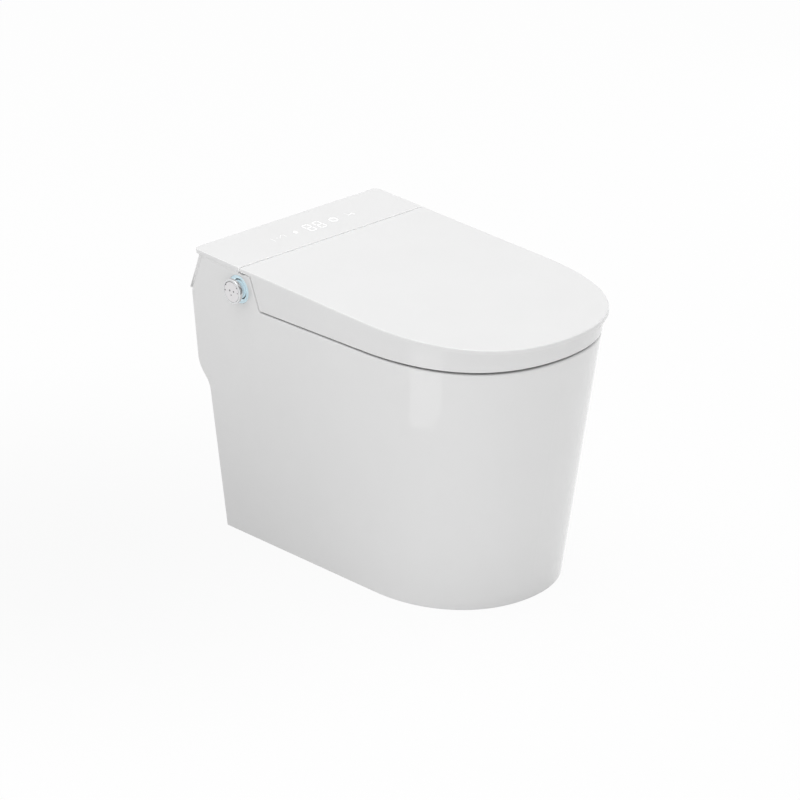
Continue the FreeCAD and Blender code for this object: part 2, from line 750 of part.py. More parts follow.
def make_housing():
    housing = start_body("seat_housing")
    pad(housing, "YZ_Plane", polygon(*unit_side("0")), "-unit_half", "unit_half")
    cavity = unit_side("1")
    spans = (("-unit_half + shell", "-arm_out - 4.5"), ("-arm_in + 4.5", "arm_in - 4.5"),
             ("arm_out + 4.5", "unit_half - shell"))
    for low, high in spans:
        pocket(housing, "YZ_Plane", polygon(*cavity), low, high)
    channel = polygon(("unit_front_y - 2", "422"), ("unit_front_y + 5", "422"),
                      ("unit_front_y + 12", "432"), ("hinge_y - 3", "unit_deck_z - 3"),
                      ("hinge_y + 3", "unit_deck_z - 3"), ("hinge_y + 3", "unit_deck_z + 5"),
                      ("unit_front_y - 2", "unit_deck_z + 5"))
    for low, high in (("arm_in - 2", "arm_out + 2"), ("-arm_out - 2", "-arm_in + 2")):
        pocket(housing, "YZ_Plane", channel, low, high)
    lug = polygon(("hinge_y - 14", "unit_deck_z - 1"), ("hinge_y - 8", "unit_deck_z - 1"),
                  ("hinge_y - 0.8", "hinge_z - 2.6"), ("hinge_y - 2.4", "hinge_z + 0.8"))
    for low, high in (("lug_in", "lug_out"), ("-lug_out", "-lug_in")):
        pad(housing, "YZ_Plane", lug, low, high)
        pad(housing, "YZ_Plane", circle("hinge_y", "hinge_z", "eye"), low, high)
        pocket(housing, "YZ_Plane", circle("hinge_y", "hinge_z", "pin_hole"), low, high)
    pocket(housing, "XY_Plane", oblong("-15", "15", "unit_front_y - 1", "184"), "deck_z - 1", "418")
    mouth = oblong("dryer_x - 19.5", "dryer_x + 19.5", "unit_front_y - 1", "180")
    pocket(housing, "XY_Plane", mouth, "deck_z - 1", "416")
    pocket(housing, "YZ_Plane", circle("knob_y", "knob_z", "8"), "-unit_half - 1", "-170")


def make_rear_cover():
    cover = start_body("rear_cover")
    plan = oblong("-plate_half", "plate_half", "cover_y", "cover_back_y")
    pad(cover, "XY_Plane", plan, "plate_z", "top_z")
    round_edges(cover, "rear_corner", lambda e: runs_along(e, 2) and e.BoundBox.YMin > 200)
    round_edges(cover, "1", lambda e: e.BoundBox.ZMin > size["top_z"] - 0.01)
    recess = oblong("-unit_half + 4", "unit_half - 4", "cover_y + 5", "cover_back_y - 9")
    pocket(cover, "XY_Plane", recess, "plate_z - 1", "top_z - 3")


def make_cover_seal():
    """White strip that closes the cover's edge down on the cheeks."""
    band = side_body(number("seal_inset")).cut(side_body(number("seal_inset + seal_width")))
    length = number("seal_back_y - seal_y")
    reach = Part.makeBox(400, length, number("plate_z - cheek_top_z"),
                         V(-200, number("seal_y"), number("cheek_top_z")))
    formed("cover_seal", band.common(reach))


def make_rear_panel():
    """Sloping closing panel between the top plate and the lip above the china's back."""
    panel = start_body("rear_panel")
    side = polygon(("279.6", "plate_z - 0.4"), ("lip_y", "lip_z"), ("lip_y - 1.1", "lip_z - 2.4"),
                   ("lip_y - 3.8", "lip_z - 1.1"), ("276.4", "cheek_top_z"),
                   ("275.1", "plate_z - 0.4"))
    pad(panel, "YZ_Plane", side, "-193.2", "193.2")
    rib = polygon(("277", "461"), ("296.6", "413"), ("293.4", "413"), ("275", "459.5"))
    for low, high in (("-120", "-117"), ("-1.5", "1.5"), ("117", "120")):
        pad(panel, "YZ_Plane", rib, low, high)


# ---------------------------------------------------------------- knob

def make_knob():
    """Light ring sunk in the china, and a turned knob with a push button in its face."""
    centre = ("knob_y", "knob_z")
    lens = cylinder("ring_lens", "X", centre, "ring_radius", "ring_face_x", "ring_back_x")
    bore = cylinder("ring_hole", "X", centre, "ring_bore", "ring_face_x - 1", "ring_back_x + 1")
    keep("knob_ring", cut("knob_ring", lens, [bore]))
    dial = start_body("knob_dial")
    pad(dial, "YZ_Plane", circle("knob_y", "knob_z", "knob_radius"), "knob_face_x", "knob_back_x")
    round_edges(dial, "1.2", lambda e: e.BoundBox.XMax < size["knob_face_x"] + 0.01)
    pad(dial, "YZ_Plane", circle("knob_y", "knob_z", "knob_neck"), "knob_back_x", "-190")
    pad(dial, "YZ_Plane", circle("knob_y", "knob_z", "6"), "-190", "-168")
    seat = "button_back_x + button_travel + 0.2"
    pocket(dial, "YZ_Plane", circle("knob_y", "knob_z", "button + 0.4"), "knob_face_x - 1", seat)
    stem_end = "button_back_x + 10"
    hole_end = stem_end + " + button_travel + 0.5"
    stem_hole = circle("knob_y", "knob_z", "button_stem + 0.05")
    pocket(dial, "YZ_Plane", stem_hole, seat + " - 1", hole_end)
    button = start_body("knob_button")
    cap = circle("knob_y", "knob_z", "button")
    pad(button, "YZ_Plane", cap, "knob_face_x - 0.4", "button_back_x")
    round_edges(button, "0.6", lambda e: e.BoundBox.XMax < size["knob_face_x"] - 0.3)
    pad(button, "YZ_Plane", circle("knob_y", "knob_z", "button_stem"), "button_back_x", stem_end)
    encoder = start_body("knob_encoder")
    case = oblong("knob_y - 13", "knob_y + 13", "knob_z - 13", "knob_z + 13")
    pad(encoder, "YZ_Plane", case, "-175.4", "-160")
    pocket(encoder, "YZ_Plane", circle("knob_y", "knob_z", "6.05"), "-176", "-164")


# ---------------------------------------------------------------- wash nozzle and dryer

def tilt(item):
    """Turn a piece made along Y about the nozzle's mouth, down to the front."""
    mouth = V(0, number("wash_y"), number("wash_z"))
    turn = FreeCAD.Rotation(V(1, 0, 0), number("wash_tilt"))
    item.Placement = FreeCAD.Placement(mouth, turn)


def make_nozzle():
    guide = start_body("nozzle_guide")
    pad(guide, "XZ_Plane", oblong("-13", "13", "-12", "11.5"), "16", "140")
    pocket(guide, "XZ_Plane", circle("0", "0", "wand + 0.4"), "15", "137")
    wand_body = start_body("nozzle_wand")
    pad(wand_body, "XZ_Plane", circle("0", "0", "wand"), "12", "wand_length")
    tip = start_body("nozzle_tip")
    pad(tip, "XZ_Plane", circle("0", "0", "wand + 0.8"), "-4", "12")
    round_edges(tip, "2", lambda e: e.BoundBox.YMax < -3.9)
    for reach in ("1", "5"):
        pocket(tip, "XY_Plane", circle("0", reach, "0.8"), "3", "wand + 2")
    for item in (guide, wand_body, tip):
        tilt(item)


def make_dryer():
    duct = start_body("dryer_duct")
    low, high = "dryer_x - 17", "dryer_x + 17"
    pad(duct, "XZ_Plane", oblong(low, high, "-9", "9"), "3.4", "66")
    pocket(duct, "XZ_Plane", oblong(low + " + 2", high + " - 2", "-7", "7"), "2", "67")
    flap = start_body("dryer_flap")
    pad(flap, "XZ_Plane", oblong(low, high, "-9", "7.6"), "0.6", "2.6")
    pad(flap, "YZ_Plane", circle("1.6", "8", "1.4"), low, high)
    for item in (duct, flap):
        tilt(item)
    axis = ("blower_x", "blower_y")
    scroll = cylinder("scroll", "Z", axis, "blower", "deck_z + shell", "452")
    room = cylinder("scroll_room", "Z", axis, "blower - 3", "deck_z + shell + 3", "449")
    inlet = cylinder("scroll_inlet", "Z", axis, "17", "448", "453")
    keep("blower_housing", cut("blower_housing", scroll, [room, inlet]))


def make_impeller():
    """Fan wheel: a hub and a ring of blades on a back plate."""
    centre = V(number("blower_x"), number("blower_y"), number("deck_z + shell + 4"))
    up = V(0, 0, 1)
    wheel = number("impeller")
    height = number("impeller_height")
    plate = Part.makeCylinder(wheel, 2, centre)
    hub = Part.makeCylinder(8, 14, centre)
    blades = []
    count = 16
    for i in range(count):
        blade = Part.makeBox(8, 1.4, height - 2, centre + V(wheel - 9, -0.7, 1))
        blade.rotate(centre + V(wheel - 5, 0, 0), up, 35)
        blade.rotate(centre, up, 360.0 * i / count)
        blades.append(blade)
    top = centre + up * (height - 2)
    rim = Part.makeCylinder(wheel, 2, top).cut(Part.makeCylinder(wheel - 10, 2, top))
    formed("blower_impeller", plate.fuse([hub, rim] + blades).removeSplitter())


# ---------------------------------------------------------------- works inside

def block(label, plane, draw, low, high, soften):
    """Moulded block with its long corners rounded."""
    body = start_body(label)
    pad(body, plane, draw, low, high)
    axis = {"YZ_Plane": 0, "XZ_Plane": 1, "XY_Plane": 2}[plane]
    round_edges(body, soften, lambda e: runs_along(e, axis))
    return body


def make_electrics():
    board = oblong("-110", "115", "212", "256")
    block("display_board", "XY_Plane", board, "plate_z + 0.3", "plate_z + 1.9", "2")
    case = oblong("-118", "-28", "192", "262")
    block("control_box", "XY_Plane", case, "deck_z + shell", "446", "4")
    cartridge = oblong("-104", "-58", "134", "174")
    block("deodoriser", "XY_Plane", cartridge, "deck_z + shell", "436", "5")
    light = start_body("night_light")
    lens = oblong("unit_front_y - 0.8", "unit_front_y - 0.1", "413", "419")
    pad(light, "YZ_Plane", lens, "-96", "-66")


def make_water_works():
    tank = oblong("-160", "-40", "bay_floor_z", "tank_top")
    heater = block("heater_tank", "XZ_Plane", tank, "168", "250", "12")
    for port_x in ("-140", "-60"):
        port = circle(port_x, "tank_port_y", "7")
        pad(heater, "XY_Plane", port, "tank_top - 6", "tank_top + 12")
    pump = start_body("booster_pump")
    pad(pump, "YZ_Plane", circle("pump_y", "pump_z", "pump"), "-25", "60")
    foot = oblong("-20", "55", "pump_y - 26", "pump_y + 26")
    pad(pump, "XY_Plane", foot, "bay_floor_z", "bay_floor_z + 12")
    pad(pump, "XY_Plane", circle("40", "pump_y", "9"), "pump_z + 24", "pump_z + 44")
    valve = start_body("inlet_valve")
    pad(valve, "XY_Plane", oblong("92", "150", "200", "250"), "bay_floor_z", "bay_floor_z + 34")
    spigot = circle("inlet_x", "hose_y", "13")
    pad(valve, "XY_Plane", spigot, "bay_floor_z + 30", "bay_floor_z + 70")
    hose = cylinder("supply_hose", "Z", ("inlet_x", "hose_y"), "8", "service_z + 16", "bay_floor_z")
    keep("supply_hose", hose)
    inlet = start_body("water_inlet")
    pad(inlet, "XZ_Plane", circle("inlet_x", "service_z", "12"), "215", "256.4")
    pad(inlet, "XZ_Plane", circle("inlet_x", "service_z", "17"), "256.4", "259.4")
    pad(inlet, "XZ_Plane", circle("inlet_x", "service_z", "10.48"), "259.4", "282")
    pad(inlet, "XY_Plane", circle("inlet_x", "hose_y", "9.5"), "service_z", "service_z + 16")
    pocket(inlet, "XZ_Plane", circle("inlet_x", "service_z", "7"), "222", "283")
    gland = start_body("cable_gland")
    pad(gland, "XZ_Plane", circle("gland_x", "service_z", "8.9"), "238", "258")
    pad(gland, "XZ_Plane", circle("gland_x", "service_z", "13"), "256", "260")
    pocket(gland, "XZ_Plane", circle("gland_x", "service_z", "4"), "237", "261")


# ---------------------------------------------------------------- build, test and write

def check_and_write():
    doc.recompute()
    for item in doc.Objects:
        if "Invalid" in item.State or "Error" in item.State:
            raise RuntimeError("failed object: " + item.Label)
    os.makedirs("parts", exist_ok=True)
    for label, item in nodes.items():
        shape = item.Shape
        if shape.isNull() or not shape.isValid() or not shape.Solids:
            raise RuntimeError("bad shape: " + label)
    for label, item in nodes.items():
        item.Shape.exportStep("parts/%s.step" % label)
        print("%-18s %10.1f mm3, %d solids" % (label, item.Shape.Volume, len(item.Shape.Solids)))


fill_sheet()
make_china()
make_outlet_gasket()
make_lid()
make_hinge_pins()
make_lid_bumpers()
make_seat()
make_seat_arms()
make_seat_bumpers()
make_housing()
make_rear_cover()
make_cover_seal()
make_rear_panel()
make_knob()
make_nozzle()
make_dryer()
make_impeller()
make_electrics()
make_water_works()
check_and_write()
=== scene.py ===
import bmesh
import bpy
import math
from mathutils import Matrix, Vector


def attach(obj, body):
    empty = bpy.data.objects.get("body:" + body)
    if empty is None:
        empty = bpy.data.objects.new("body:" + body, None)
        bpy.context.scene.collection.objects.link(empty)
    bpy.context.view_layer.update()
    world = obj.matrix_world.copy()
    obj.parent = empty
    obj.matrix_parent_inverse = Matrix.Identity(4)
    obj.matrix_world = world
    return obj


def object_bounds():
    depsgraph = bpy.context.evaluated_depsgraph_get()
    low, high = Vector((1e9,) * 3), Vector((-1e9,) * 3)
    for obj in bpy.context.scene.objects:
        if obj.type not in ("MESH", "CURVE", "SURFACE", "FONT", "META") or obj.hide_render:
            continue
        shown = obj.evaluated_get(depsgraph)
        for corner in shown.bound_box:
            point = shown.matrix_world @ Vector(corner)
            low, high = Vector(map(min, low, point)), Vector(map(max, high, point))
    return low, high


# A smart toilet: a glazed china pan in one piece, a heated seat with a lid that wraps
# its front, and a slim washing and drying unit under the flat rear cover.
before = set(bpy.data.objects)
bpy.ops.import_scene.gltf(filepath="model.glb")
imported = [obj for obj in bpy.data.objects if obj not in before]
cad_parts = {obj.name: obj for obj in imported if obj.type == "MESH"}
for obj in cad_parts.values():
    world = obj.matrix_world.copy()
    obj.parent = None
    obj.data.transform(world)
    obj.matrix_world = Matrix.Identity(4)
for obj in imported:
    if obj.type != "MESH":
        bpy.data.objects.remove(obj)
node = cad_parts
cad_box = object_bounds()


# ------------------------------------------------------------------ the studio
# A white floor, a wide soft sky, a large lamp overhead, one beside the camera and a weak
# one on the far side, and a small bright card that the glaze mirrors. The floor carries a
# painted shadow at the rear left, which only light bouncing off it sees. The camera stands
# at the front left.

camera_data = bpy.data.cameras.new("camera")
camera_data.lens = 206.614
camera_data.sensor_width = 36
camera_data.clip_start = 0.1
camera_data.clip_end = 60
camera = bpy.data.objects.new("camera", camera_data)
camera_place = (-4.472517, -4.944437, 3.239285)
camera_right = Vector((0.74290637, -0.66939535, 0))
camera_up = Vector((0.27417773, 0.30428712, 0.91226965))
camera_back = Vector((-0.61066906, -0.67773093, 0.40959014))
facing = Matrix((camera_right, camera_up, camera_back)).transposed()
camera.matrix_world = Matrix.Translation(camera_place) @ facing.to_4x4()
bpy.context.scene.collection.objects.link(camera)
bpy.context.scene.camera = camera
bpy.context.scene.view_settings.view_transform = "Standard"

seen_white = (1.0, 1.0, 1.0, 1.0)


def white_to_the_eye(tree):
    """1 for what the camera sees straight, in polished metal or through clear parts."""
    rays = tree.nodes.new("ShaderNodeLightPath")
    kinds = [rays.outputs[kind] for kind in ("Is Camera Ray", "Is Glossy Ray", "Is Transmission Ray")]
    seen = kinds[0]
    for kind in kinds[1:]:
        larger = tree.nodes.new("ShaderNodeMath")
        larger.operation = "MAXIMUM"
        tree.links.new(seen, larger.inputs[0])
        tree.links.new(kind, larger.inputs[1])
        seen = larger.outputs[0]
    return seen


sky_light = 0.76
sky_brighter = (-0.08, 0.18, 0.0)
sky = bpy.data.worlds.new("sky")
bpy.context.scene.world = sky
sky.use_nodes = True
tree = sky.node_tree
tree.nodes.clear()
lit = tree.nodes.new("ShaderNodeBackground")
lit.inputs["Color"].default_value = (1.0, 1.0, 1.0, 1.0)
towards = tree.nodes.new("ShaderNodeTexCoord")
across_sky = tree.nodes.new("ShaderNodeVectorMath")
across_sky.operation = "DOT_PRODUCT"
across_sky.inputs[1].default_value = sky_brighter
tree.links.new(towards.outputs["Generated"], across_sky.inputs[0])
sky_strength = tree.nodes.new("ShaderNodeMath")
sky_strength.operation = "ADD"
sky_strength.inputs[1].default_value = sky_light
tree.links.new(across_sky.outputs["Value"], sky_strength.inputs[0])
tree.links.new(sky_strength.outputs[0], lit.inputs["Strength"])
plain = tree.nodes.new("ShaderNodeBackground")
plain.inputs["Color"].default_value = seen_white
plain.inputs["Strength"].default_value = 1.0
chosen = tree.nodes.new("ShaderNodeMixShader")
world_out = tree.nodes.new("ShaderNodeOutputWorld")
tree.links.new(white_to_the_eye(tree), chosen.inputs[0])
tree.links.new(lit.outputs[0], chosen.inputs[1])
tree.links.new(plain.outputs[0], chosen.inputs[2])
tree.links.new(chosen.outputs[0], world_out.inputs["Surface"])


def add_lamp(name, place, target, width, height, power):
    """A rectangular soft lamp that shines from its place towards a target."""
    data = bpy.data.lights.new(name, "AREA")
    data.shape = "RECTANGLE"
    data.size = width
    data.size_y = height
    data.energy = power
    lamp = bpy.data.objects.new(name, data)
    lamp.location = place
    lamp.rotation_mode = "QUATERNION"
    lamp.rotation_quaternion = (Vector(target) - Vector(place)).to_track_quat("-Z", "Y")
    bpy.context.scene.collection.objects.link(lamp)
    return lamp


add_lamp("overhead", place=(-0.3, 0.2, 3.2), target=(0, -0.05, 0.3), width=2.6, height=2.6, power=27)
beside_camera = add_lamp("beside_camera", place=(-2.4, -2.7, 1.0), target=(0, -0.05, 0.25),
                         width=1.6, height=1.6, power=10)
beside_camera.visible_glossy = False
far_side = add_lamp("far_side", place=(2.4, 0.3, 0.25), target=(0, -0.2, 0.1),
                    width=1.2, height=0.4, power=5)
far_side.visible_glossy = False
window_card = add_lamp("window_card", place=(-0.49, -0.178, 0.20), target=(0, -0.178, 0.20),
                       width=0.2, height=0.19, power=0.07)
window_card.visible_camera = False
window_card.visible_diffuse = False

# Painted shade: for light that bounces off it, the floor darkens towards a patch at the rear left.
# This stands in for the shadow there, while the camera still sees the floor white.
paper_tone, painted_shade_tone = 0.9, 0.3
painted_shade_place, painted_shade_reach = (-0.42, 0.34, 0.0), 0.85
white_share = 0.93
paper = bpy.data.materials.new("white_paper")
paper.use_nodes = True
tree = paper.node_tree
tree.nodes.clear()
place = tree.nodes.new("ShaderNodeTexCoord")
from_painted_shade = tree.nodes.new("ShaderNodeVectorMath")
from_painted_shade.operation = "DISTANCE"
from_painted_shade.inputs[1].default_value = painted_shade_place
tree.links.new(place.outputs["Object"], from_painted_shade.inputs[0])
fade = tree.nodes.new("ShaderNodeMapRange")
fade.interpolation_type = "SMOOTHSTEP"
fade.inputs["From Max"].default_value = painted_shade_reach
fade.inputs["To Min"].default_value = painted_shade_tone
fade.inputs["To Max"].default_value = paper_tone
tree.links.new(from_painted_shade.outputs["Value"], fade.inputs["Value"])
shadowed = tree.nodes.new("ShaderNodeBsdfDiffuse")
tree.links.new(fade.outputs["Result"], shadowed.inputs["Color"])
plain = tree.nodes.new("ShaderNodeEmission")
plain.inputs["Color"].default_value = seen_white
plain.inputs["Strength"].default_value = 1.0
share = tree.nodes.new("ShaderNodeMath")
share.operation = "MULTIPLY"
share.inputs[1].default_value = white_share
chosen = tree.nodes.new("ShaderNodeMixShader")
floor_out = tree.nodes.new("ShaderNodeOutputMaterial")
tree.links.new(white_to_the_eye(tree), share.inputs[0])
tree.links.new(share.outputs[0], chosen.inputs[0])
tree.links.new(shadowed.outputs[0], chosen.inputs[1])
tree.links.new(plain.outputs[0], chosen.inputs[2])
tree.links.new(chosen.outputs[0], floor_out.inputs["Surface"])


def add_piece(name, form, *finishes):
    """Turns a finished form into a piece of the scene, in its finishes."""
    mesh = bpy.data.meshes.new(name)
    form.to_mesh(mesh)
    form.free()
    piece = bpy.data.objects.new(name, mesh)
    bpy.context.scene.collection.objects.link(piece)
    for finish in finishes:
        piece.data.materials.append(finish)
    return piece


floor_radius = 14
floor_form = bmesh.new()
bmesh.ops.create_circle(floor_form, cap_ends=True, segments=96, radius=floor_radius)
floor = add_piece("floor", floor_form, paper)


# ------------------------------------------------------------------ the china pan
# One body of vitreous china with a clear white glaze, slip cast and fired. The glaze
# is glossy and very slightly wavy, as it settles on the cast surface in the kiln.

def surface_finish(name, tones, patch, gloss, grain=0.0, depth=0.0, metallic=0.0, coat=0.0):
    """A finish whose tone wanders between two colours in patches of a given size, whose
    gloss wanders between two roughnesses, and whose surface has a grain of a given depth."""
    finish = bpy.data.materials.new(name)
    finish.use_nodes = True
    tree = finish.node_tree
    shader = tree.nodes["Principled BSDF"]
    shader.inputs["Metallic"].default_value = metallic
    shader.inputs["Coat Weight"].default_value = coat
    place = tree.nodes.new("ShaderNodeTexCoord")
    patches = tree.nodes.new("ShaderNodeTexNoise")
    patches.inputs["Scale"].default_value = 1 / patch
    patches.inputs["Detail"].default_value = 3
    tree.links.new(place.outputs["Object"], patches.inputs["Vector"])
    tone = tree.nodes.new("ShaderNodeMix")
    tone.data_type = "RGBA"
    tone.inputs["A"].default_value = (*tones[0], 1)
    tone.inputs["B"].default_value = (*tones[1], 1)
    tree.links.new(patches.outputs["Fac"], tone.inputs["Factor"])
    tree.links.new(tone.outputs["Result"], shader.inputs["Base Color"])
    polish = tree.nodes.new("ShaderNodeMapRange")
    polish.inputs["To Min"].default_value = gloss[0]
    polish.inputs["To Max"].default_value = gloss[1]
    tree.links.new(patches.outputs["Fac"], polish.inputs["Value"])
    tree.links.new(polish.outputs["Result"], shader.inputs["Roughness"])
    if grain:
        waves = tree.nodes.new("ShaderNodeTexNoise")
        waves.inputs["Scale"].default_value = 1 / grain
        waves.inputs["Detail"].default_value = 1.5
        tree.links.new(place.outputs["Object"], waves.inputs["Vector"])
        bump = tree.nodes.new("ShaderNodeBump")
        bump.inputs["Strength"].default_value = 1.0
        bump.inputs["Distance"].default_value = depth
        tree.links.new(waves.outputs["Fac"], bump.inputs["Height"])
        tree.links.new(bump.outputs["Normal"], shader.inputs["Normal"])
    return finish


def wear(name, *finishes):
    """Gives a CAD node its finish."""
    node[name].data.materials.clear()
    for finish in finishes:
        node[name].data.materials.append(finish)


glaze = surface_finish("white_glaze", tones=((0.80, 0.80, 0.80), (0.83, 0.83, 0.83)), patch=0.12,
                       gloss=(0.05, 0.09), grain=0.06, depth=0.00025, coat=0.4)
for china_piece in ("ceramic_pan", "ceramic_bowl", "ceramic_trap"):
    wear(china_piece, glaze)

moulded_rubber = surface_finish("moulded_rubber", tones=((0.03, 0.03, 0.032), (0.05, 0.05, 0.052)),
                                patch=0.01, gloss=(0.55, 0.75), grain=0.0012, depth=0.00006)
wear("outlet_gasket", moulded_rubber)


# ------------------------------------------------------------------ the water works
# The supply comes in through a threaded brass inlet at the rear and runs through the
# valve and the pump to a small heated tank in the bay behind the bowl. The control box
# and the deodoriser are closed plastic casings above them.

plated_brass = surface_finish("plated_brass", tones=((0.72, 0.52, 0.24), (0.82, 0.62, 0.32)),
                              patch=0.02, gloss=(0.18, 0.3), grain=0.004, depth=0.00002,
                              metallic=1.0)
tank_plastic = surface_finish("tank_plastic", tones=((0.42, 0.43, 0.45), (0.5, 0.51, 0.53)),
                              patch=0.03, gloss=(0.35, 0.5), grain=0.0008, depth=0.00002)
grey_housing = surface_finish("grey_housing", tones=((0.22, 0.23, 0.24), (0.28, 0.29, 0.3)),
                              patch=0.03, gloss=(0.4, 0.55), grain=0.0008, depth=0.00003)
clear_hose = surface_finish("clear_hose", tones=((0.55, 0.6, 0.62), (0.64, 0.68, 0.7)), patch=0.02,
                            gloss=(0.15, 0.25), grain=0.003, depth=0.00002)
wear("water_inlet", plated_brass)
wear("inlet_valve", tank_plastic)
wear("booster_pump", grey_housing)
wear("heater_tank", tank_plastic)
wear("supply_hose", clear_hose)
wear("cable_gland", grey_housing)
wear("control_box", grey_housing)
wear("deodoriser", tank_plastic)


# ------------------------------------------------------------------ the seat unit
# A white moulded housing closes the china deck behind the bowl. It holds the nozzle,
# the dryer and the lamp that lights the bowl at night.

white_moulding = surface_finish("white_moulding", tones=((0.80, 0.80, 0.80), (0.83, 0.83, 0.83)),
                                patch=0.08, gloss=(0.16, 0.22), grain=0.0006, depth=0.00001,
                                coat=0.2)
lamp_lens = surface_finish("lamp_lens", tones=((0.86, 0.9, 0.95), (0.92, 0.95, 1.0)), patch=0.01,
                           gloss=(0.1, 0.2))
wear("seat_housing", white_moulding)
wear("night_light", lamp_lens)


# ------------------------------------------------------------------ the splash tray
# A thin white moulding lines the notch in the china below the nozzle and the dryer. It
# runs from under the housing down to the wall of the bowl, with a low side on each hand.

notch_sides = (-0.0354, 0.0834)
notch_front, notch_front_level, notch_slope = 0.040, 0.3573, 0.042 / 0.116
tray_rear, tray_wall, tray_side_top, tray_lip = 0.154, 0.0012, 0.389, 0.001
low_section = {"level": 0.330, "middle": -0.114, "half_width": 0.128, "half_length": 0.178}
high_section = {"level": 0.395, "middle": -0.106, "half_width": 0.147, "half_length": 0.207}
on_the_wall = 0.003


def notch_floor(y):
    """Height of the tray above the sloping floor of the notch."""
    return notch_front_level + (y - notch_front) * notch_slope


def bowl_wall_y(x, z):
    """Where the rear wall of the bowl stands at a given side position and height."""
    share = (z - low_section["level"]) / (high_section["level"] - low_section["level"])
    here = {size: low + (high_section[size] - low) * share for size, low in low_section.items()}
    across = x / (here["half_width"] + on_the_wall)
    reach = (here["half_length"] + on_the_wall) * math.sqrt(1 - across * across)
    return here["middle"] + reach


tray_columns, tray_rows = 18, 10
front_guess, guess_rounds = 0.05, 12
tray = bmesh.new()
bmesh.ops.create_grid(tray, x_segments=tray_columns, y_segments=tray_rows, size=0.5)
for point in tray.verts:
    column = round((point.co.x + 0.5) * tray_columns)
    inward = point.co.y + 0.5
    is_side = column in (0, tray_columns)
    share = min(max((column - 1) / (tray_columns - 2), 0), 1)
    x = notch_sides[0] + (notch_sides[1] - notch_sides[0]) * share
    front = front_guess
    for step in range(guess_rounds):
        front = bowl_wall_y(x, tray_side_top if is_side else notch_floor(front))
    y = front + (tray_rear - front) * inward
    z = max(tray_side_top, notch_floor(y) + tray_lip) if is_side else notch_floor(y)
    point.co = (x, y, z)
bmesh.ops.recalc_face_normals(tray, faces=tray.faces[:])
bmesh.ops.solidify(tray, geom=tray.faces[:], thickness=tray_wall)
bmesh.ops.recalc_face_normals(tray, faces=tray.faces[:])
splash_tray = add_piece("splash_tray", tray, white_moulding)
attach(splash_tray, "root")


# ------------------------------------------------------------------ nozzle and dryer
# A polished steel wand slides out of its white guide under the seat. Beside it the
# dryer's fan wheel turns in a grey case and blows through a white duct behind a flap.

steel = surface_finish("polished_steel", tones=((0.72, 0.72, 0.73), (0.8, 0.8, 0.81)), patch=0.02,
                       gloss=(0.12, 0.22), grain=0.004, depth=0.00001, metallic=1.0)
wear("nozzle_guide", white_moulding)
wear("nozzle_wand", steel)
wear("nozzle_tip", white_moulding)
wear("dryer_duct", white_moulding)
wear("dryer_flap", white_moulding)
wear("blower_housing", grey_housing)
wear("blower_impeller", tank_plastic)


# ------------------------------------------------------------------ the heated seat
# Two white mouldings are welded together round a foil heater. The seat stands on
# four soft feet and swings on two arms at its rear.

seat_plastic = surface_finish("seat_plastic", tones=((0.80, 0.80, 0.80), (0.83, 0.83, 0.83)),
                              patch=0.08, gloss=(0.14, 0.2), grain=0.0006, depth=0.00001, coat=0.2)
heater_foil = surface_finish("heater_foil", tones=((0.55, 0.24, 0.12), (0.66, 0.32, 0.18)),
                             patch=0.01, gloss=(0.3, 0.4), grain=0.002, depth=0.00003, metallic=0.8)
soft_feet = surface_finish("soft_feet", tones=((0.62, 0.62, 0.62), (0.7, 0.7, 0.7)), patch=0.01,
                           gloss=(0.45, 0.6), grain=0.001, depth=0.00003)
wear("seat_tray", seat_plastic)
wear("seat_top", seat_plastic)
wear("seat_heater", heater_foil)
wear("seat_arm_left", seat_plastic)
wear("seat_arm_right", seat_plastic)
wear("seat_bumpers", soft_feet)


# ------------------------------------------------------------------ the lid
# A white moulded shell with a flat top and a side wall that comes down over the rim
# of the bowl. It turns on two steel pins along the seam with the rear cover.

lid_plastic_and_seam_light = surface_finish("lid_plastic_and_seam_light", tones=((0.80, 0.80, 0.80), (0.83, 0.83, 0.83)),
                             patch=0.10, gloss=(0.14, 0.2), grain=0.0006, depth=0.000008, coat=0.2)
tree = lid_plastic_and_seam_light.node_tree
lid_shader = tree.nodes["Principled BSDF"]
lid_shader.inputs["Subsurface Weight"].default_value = 0.6
lid_shader.inputs["Subsurface Radius"].default_value = (1.0, 1.0, 1.0)
lid_shader.inputs["Subsurface Scale"].default_value = 0.002
lid_tone = lid_shader.inputs["Base Color"].links[0].from_socket
# Painted light: the plastic is painted near white along the seam with the rear cover, lifting the
# shade that falls in the seam. The lid, the rear cover, the rear panel and the trim all wear this
# finish.
seam_middle, seam_reach, seam_fade = 0.1818, 0.001, 0.0022
place = tree.nodes.new("ShaderNodeTexCoord")
axes = tree.nodes.new("ShaderNodeSeparateXYZ")
tree.links.new(place.outputs["Object"], axes.inputs[0])
from_seam = tree.nodes.new("ShaderNodeMath")
from_seam.operation = "SUBTRACT"
from_seam.inputs[1].default_value = seam_middle
tree.links.new(axes.outputs["Y"], from_seam.inputs[0])
apart = tree.nodes.new("ShaderNodeMath")
apart.operation = "ABSOLUTE"
tree.links.new(from_seam.outputs[0], apart.inputs[0])
seam_painted_light = tree.nodes.new("ShaderNodeMapRange")
seam_painted_light.interpolation_type = "SMOOTHSTEP"
seam_painted_light.inputs["From Min"].default_value = seam_fade
seam_painted_light.inputs["From Max"].default_value = seam_reach
tree.links.new(apart.outputs[0], seam_painted_light.inputs["Value"])
seam_painted_light_tone = tree.nodes.new("ShaderNodeMix")
seam_painted_light_tone.data_type = "RGBA"
seam_painted_light_tone.inputs["B"].default_value = (0.97, 0.97, 0.97, 1)
tree.links.new(seam_painted_light.outputs["Result"], seam_painted_light_tone.inputs["Factor"])
tree.links.new(lid_tone, seam_painted_light_tone.inputs["A"])
